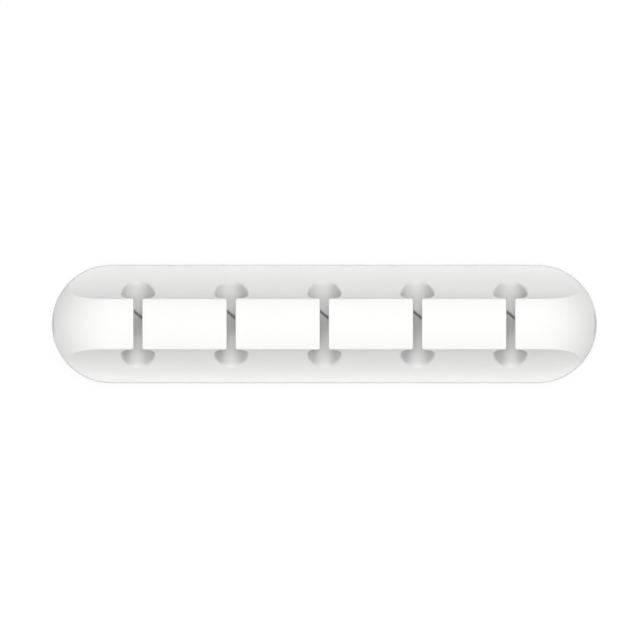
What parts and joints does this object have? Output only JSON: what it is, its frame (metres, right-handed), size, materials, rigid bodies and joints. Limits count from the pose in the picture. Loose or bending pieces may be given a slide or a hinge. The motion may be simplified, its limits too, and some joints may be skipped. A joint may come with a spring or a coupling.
{
  "type": "adhesive cable clip",
  "caption": "Soft moulded strip with a row of snap-in cable channels across its ridge, hollow side slopes, round ends and a stick-on foam pad underneath.",
  "frame": {"origin": "middle of the adhesive pad's sticky underside, on the surface that the clip is stuck to", "axes": "+X along the strip, +Y along the cables, +Z away from the surface, towards the ridge and its slits"},
  "size_m": [0.129, 0.028, 0.015],
  "materials": {
    "moulding": "soft white silicone, matt, with a slight sheen",
    "foam": "white double-sided foam with a clear tacky face"
  },
  "bodies": {
    "root": {"clip_body": "moulding", "adhesive_pad": "foam"}
  },
  "joints": []
}
